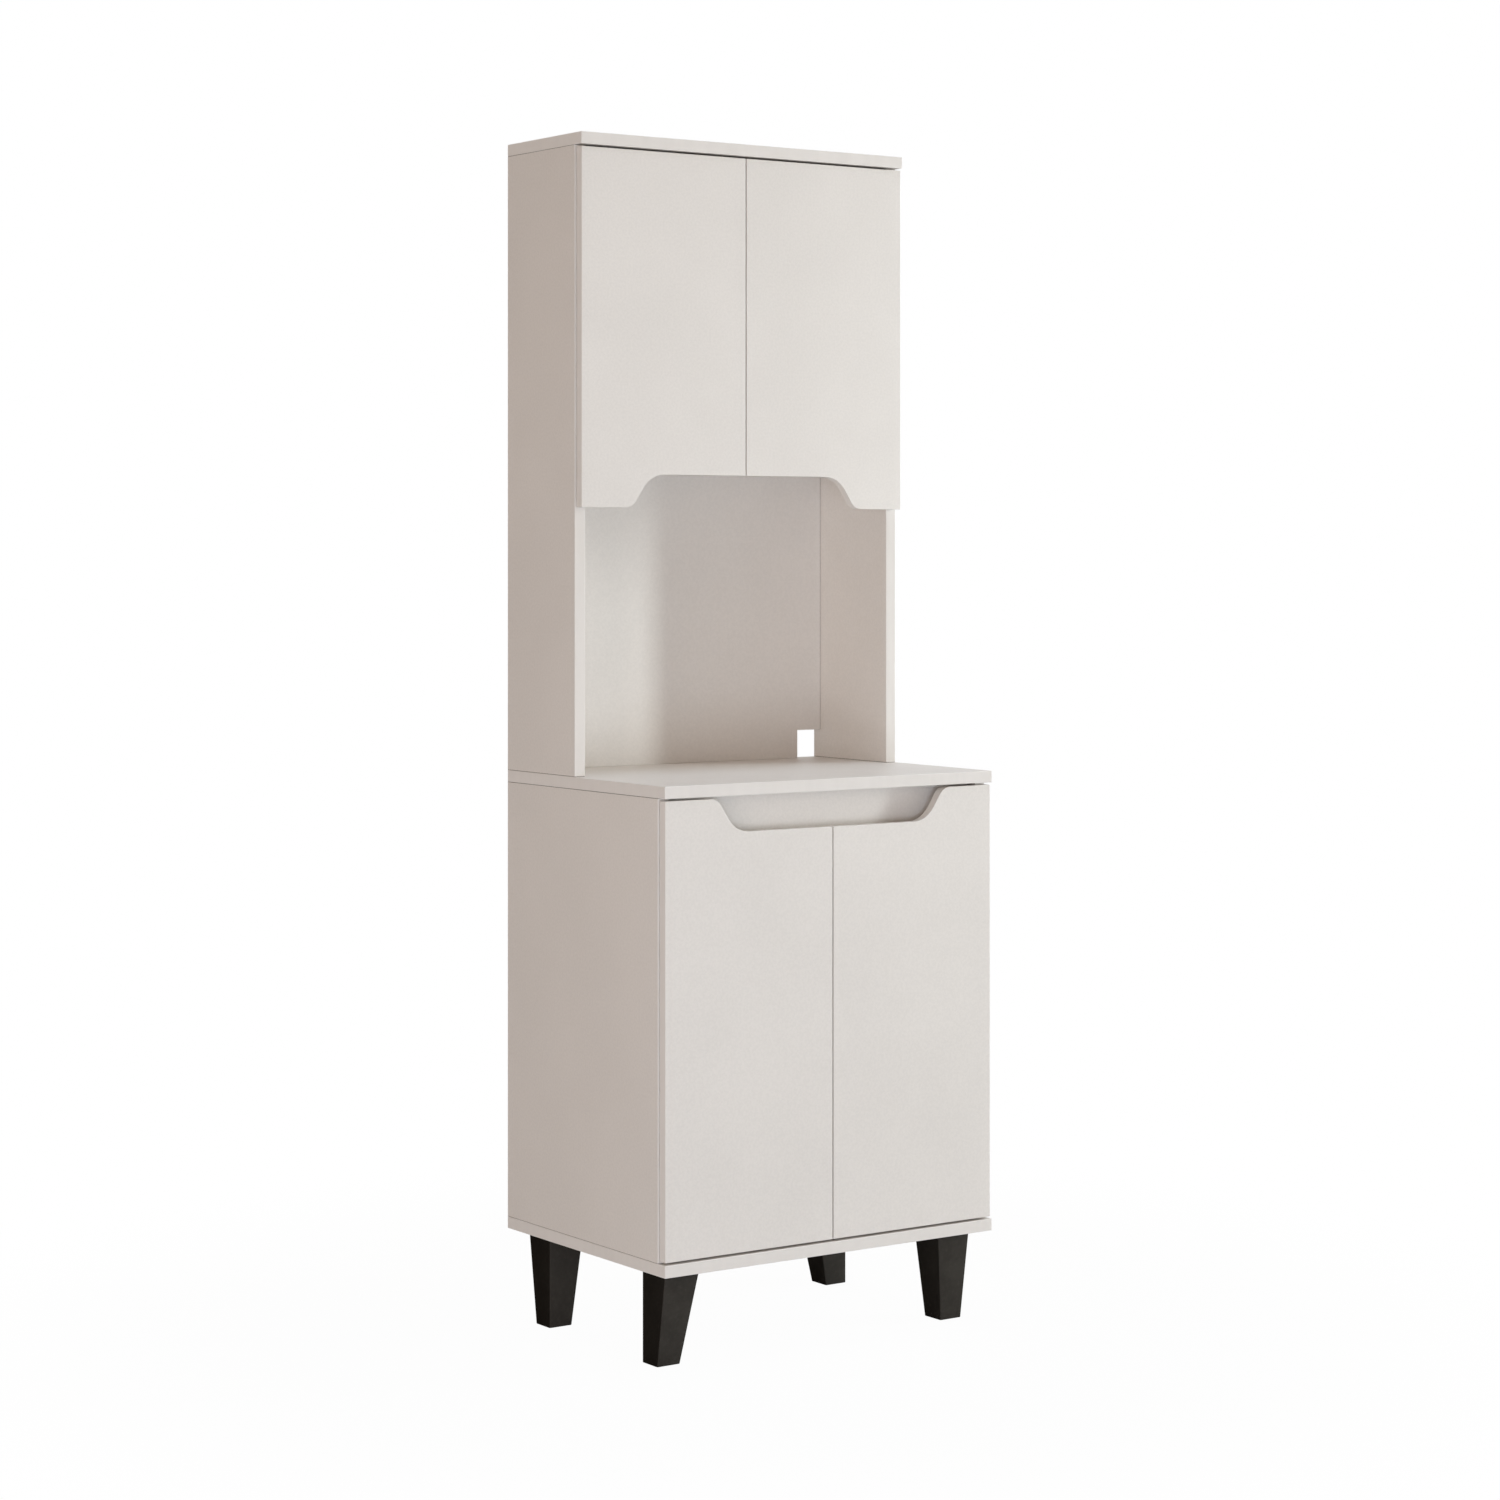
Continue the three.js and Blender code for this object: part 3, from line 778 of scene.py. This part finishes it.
# Two screws through each cup's flange, riding on the door.
def cupScrewSpots(tier, side):
    spots = []
    for place in hingePlaces:
        low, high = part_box(f"{tier}_{side}_{place}_hinge_cup")
        middle = (low + high) / 2
        for rise in (-screwShape["cupScrewRise"], screwShape["cupScrewRise"]):
            spots.append(((middle.x, high.y, middle.z + rise), backward))
    return spots


# The mounting plates' wing screws and the arms' two adjusting screws, on the side panels.
def armScrewSpots():
    plateSpots, armSpots = [], []
    for tier, side in doorNames:
        facing = (inwardFrom(side), 0.0, 0.0)
        for place in hingePlaces:
            arm = f"{tier}_{side}_{place}_hinge_arm"
            tail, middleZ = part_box(arm)[1].y, nodeMiddle(arm).z
            plateX = xFromSide(arm, side, screwShape["plateThickness"])
            plateY = tail - screwShape["plateScrewFront"]
            for rise in (-screwShape["plateScrewRise"], screwShape["plateScrewRise"]):
                plateSpots.append(((plateX, plateY, middleZ + rise), facing))
            for front in screwShape["armScrewFronts"]:
                armSpots.append(((innerX(arm, side), tail - front, middleZ), facing))
    return plateSpots, armSpots


# One bolt down into each leg, through the bottom panel.
def boltSpots():
    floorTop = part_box("bottom_panel")[1].z
    middles = [nodeMiddle(place + "_leg") for place in legPlaces]
    return [((middle.x, middle.y, floorTop), upward) for middle in middles]


screwHeads = screwTree()
screwCount = 0
for tier, side in doorNames:
    spots = cupScrewSpots(tier, side)
    growFasteners(f"{tier}_{side}_cup_screws", screwHeads, spots, screwShape["cup"],
                  screwFinish, f"{tier}_{side}_door")
    screwCount += len(spots)
plateSpots, armSpots = armScrewSpots()
for name, spots, kind in (
    ("mounting_plate_screws", plateSpots, "plate"),
    ("arm_adjusting_screws", armSpots, "arm"),
    ("leg_bolts", boltSpots(), "legBolt"),
):
    growFasteners(name, screwHeads, spots, screwShape[kind], screwFinish, "carcass")
    screwCount += len(spots)
print("screws made:", screwCount)

capShape = {
    "size": {"Radius": 8.5 * millimetre, "Height": 1.6 * millimetre, "Sides": 36},
    "profile": ((0.0, 1.0), (0.55, 1.0), (0.85, 0.9), (1.0, 0.45)),
    "endInset": 34 * millimetre,         # from the end of the board that the cam pulls in
    "frontInset": 50 * millimetre,
    "backInset": 52 * millimetre,
}


# A button for caps and bumpers: a short drum with a chamfered, slightly domed top.
def buttonTree():
    points = startTree("roundButtons", capShape["size"])
    radius, height, sides = points.also("Radius"), points.also("Height"), points.also("Sides")
    scatterOnPoints(points, turnedSolid(points, sides, radius, height, capShape["profile"]))
    return points.tree


# Cover caps over the cam fasteners, all inside the closed cupboards.
def capSpots():
    spots = []
    inset, front, back = capShape["endInset"], capShape["frontInset"], capShape["backInset"]
    for side in ("left", "right"):
        facing = (inwardFrom(side), 0.0, 0.0)
        panel = f"base_{side}_side"
        low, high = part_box(panel)
        for y in (low.y + front, high.y - back):
            for z in (low.z + inset, high.z - inset):
                spots.append(((innerX(panel, side), y, z), facing))
        panel = f"hutch_{side}_side"
        low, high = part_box(panel)
        for y in (low.y + front, high.y - back):
            spots.append(((innerX(panel, side), y, high.z - inset), facing))
        panel = "upper_cupboard_floor"
        low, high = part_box(panel)
        for y in (low.y + front, high.y - inset):
            spots.append(((xFromSide(panel, side, inset), y, high.z), upward))
        panel = "front_rail"
        low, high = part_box(panel)
        middleZ = (low.z + high.z) / 2
        spots.append(((xFromSide(panel, side, inset), high.y, middleZ), backward))
    return spots


roundButtons = buttonTree()
caps = capSpots()
growFasteners("cam_cover_caps", roundButtons, caps, capShape["size"],
              capFinish, "carcass")
print("cover caps made:", len(caps))

bumperShape = {
    "size": {"Radius": 4.0 * millimetre, "Height": 1.3 * millimetre, "Sides": 24},
    "fromHingeEdge": 9 * millimetre,
    "fromEnd": 32 * millimetre,
}


# Two bumpers on each door, where it meets the front edge of its side panel.
def bumperSpots(tier, side):
    door, end = f"{tier}_{side}_door", bumperShape["fromEnd"]
    low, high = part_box(door)
    x = xFromSide(door, side, bumperShape["fromHingeEdge"])
    return [((x, high.y, z), backward) for z in (low.z + end, high.z - end)]


for tier, side in doorNames:
    growFasteners(f"{tier}_{side}_door_bumpers", roundButtons, bumperSpots(tier, side),
                  bumperShape["size"], bumperFinish, f"{tier}_{side}_door")
print("bumpers made")

studio = {
    "floorHalf": 7.0,
    "floorColour": (0.55, 0.55, 0.55),   # what the floor gives back to the underside of the object
    "floorWhite": 0.975,                 # share of plain white that the camera sees near the cabinet
    "floorFade": (0.6, 1.5),             # metres from the middle over which it rises to all white
    "ambientColour": (1.0, 0.79, 0.61),
    "ambientStrength": 0.30,
}
lamps = {
    "key": {
        "place": (3.46, -1.71, 1.52), "target": (0.0, 0.1, 0.95), "size": (0.24, 2.4),
        "power": 104.0, "colour": (0.915, 0.995, 1.0),
    },
    "fill": {
        "place": (-1.68, -3.27, 0.35), "target": (0.0, 0.0, 0.5), "size": (1.4, 1.4),
        "power": 46.5, "colour": (0.72, 0.843, 0.985),
    },
    "side": {
        "place": (-4.2, -2.7, 0.9), "target": (0.0, 0.0, 0.9), "size": (2.0, 2.0),
        "power": 52.0, "colour": (1.0, 0.875, 0.805),
    },
    "top": {
        "place": (0.1, -0.75, 8.0), "target": (0.1, -0.3, 0.9), "size": (2.4, 2.4),
        "power": 194.0, "colour": (0.72, 0.855, 1.0),
    },
    "rear": {
        "place": (0.0, 4.4, 1.2), "target": (0.0, 0.0, 0.9), "size": (0.5, 0.5),
        "power": 50.0, "colour": (0.95, 0.98, 1.0),
        "glare": False,                  # it would glare on a door that stands open
    },
}


# 1 where the camera, a mirror-like surface or glass sees this directly.
def seenDirectly(start):
    camera = start.add("ShaderNodeLightPath", output="Is Camera Ray")
    glossy, through = camera.also("Is Glossy Ray"), camera.also("Is Transmission Ray")
    return start.math("MAXIMUM", camera, start.math("MAXIMUM", glossy, through))


# The second shader shows where the factor is 1.
def mixShaders(factor, first, second):
    return factor.add("ShaderNodeMixShader", None, {0: factor, 1: first, 2: second})


# A matt floor, seen as nearly white, so that a faint shadow is left under the cabinet.
def makeFloor():
    half = studio["floorHalf"]
    corners = [(-half, -half, 0), (half, -half, 0), (half, half, 0), (-half, half, 0)]
    data = bpy.data.meshes.new("floor")
    data.from_pydata(corners, [], [(0, 1, 2, 3)])
    material, place = startMaterial("paleFloor")
    distance = place.add("ShaderNodeVectorMath", {"operation": "LENGTH"}, {0: place}, "Value")
    far = spread(distance, *studio["floorFade"])
    whiteness = studio["floorWhite"] + far * (1 - studio["floorWhite"])
    matte = place.add("ShaderNodeBsdfDiffuse", None, {"Color": studio["floorColour"] + (1.0,)})
    plain = place.add("ShaderNodeEmission", None, {"Color": white, "Strength": 1.0})
    mixed = mixShaders(seenDirectly(place) * whiteness, matte, plain)
    place.add("ShaderNodeOutputMaterial", None, {"Surface": mixed})
    data.materials.append(material)
    addObject("floor", data)


def makeWorld():
    world = bpy.data.worlds.new("studio")
    bpy.context.scene.world = world
    world.use_nodes = True
    world.node_tree.nodes.clear()
    start = Wire(world.node_tree)
    ambient = start.add("ShaderNodeBackground", None, {
        "Color": studio["ambientColour"] + (1.0,), "Strength": studio["ambientStrength"],
    })
    plain = start.add("ShaderNodeBackground", None, {"Color": white, "Strength": 1.0})
    mixed = mixShaders(seenDirectly(start), ambient, plain)
    start.add("ShaderNodeOutputWorld", None, {"Surface": mixed})


def makeLamp(name, place, target, size, power, colour, glare=True):
    lamp = bpy.data.lights.new(name + "Lamp", "AREA")
    lamp.shape = "RECTANGLE"
    lamp.size, lamp.size_y = size
    lamp.energy = power
    lamp.color = colour
    holder = addObject(name + "Lamp", lamp)
    holder.location = place
    aim = Vector(target) - Vector(place)
    holder.rotation_euler = aim.to_track_quat("-Z", "Y").to_euler()
    holder.visible_camera = False
    holder.visible_glossy = glare


# Level camera at the photograph's place. Its shift does what a tilt would do to the framing.
cameraView = {
    "place": (-2.9626, -4.2590, 1.1933),
    "turn": -34.835,
    "lens": 81.04,
    "sensorWidth": 36.0,
    "shiftY": -0.13763,
}


def makeCamera():
    lens = bpy.data.cameras.new("photoCamera")
    lens.lens = cameraView["lens"]
    lens.sensor_width = cameraView["sensorWidth"]
    lens.shift_y = cameraView["shiftY"]
    camera = addObject("photoCamera", lens)
    camera.location = cameraView["place"]
    camera.rotation_euler = (math.radians(90), 0.0, math.radians(cameraView["turn"]))
    bpy.context.scene.camera = camera


makeFloor()
makeWorld()
for name, lamp in lamps.items():
    makeLamp(name, **lamp)
makeCamera()
bpy.context.scene.view_settings.view_transform = "Standard"
print("studio ready")
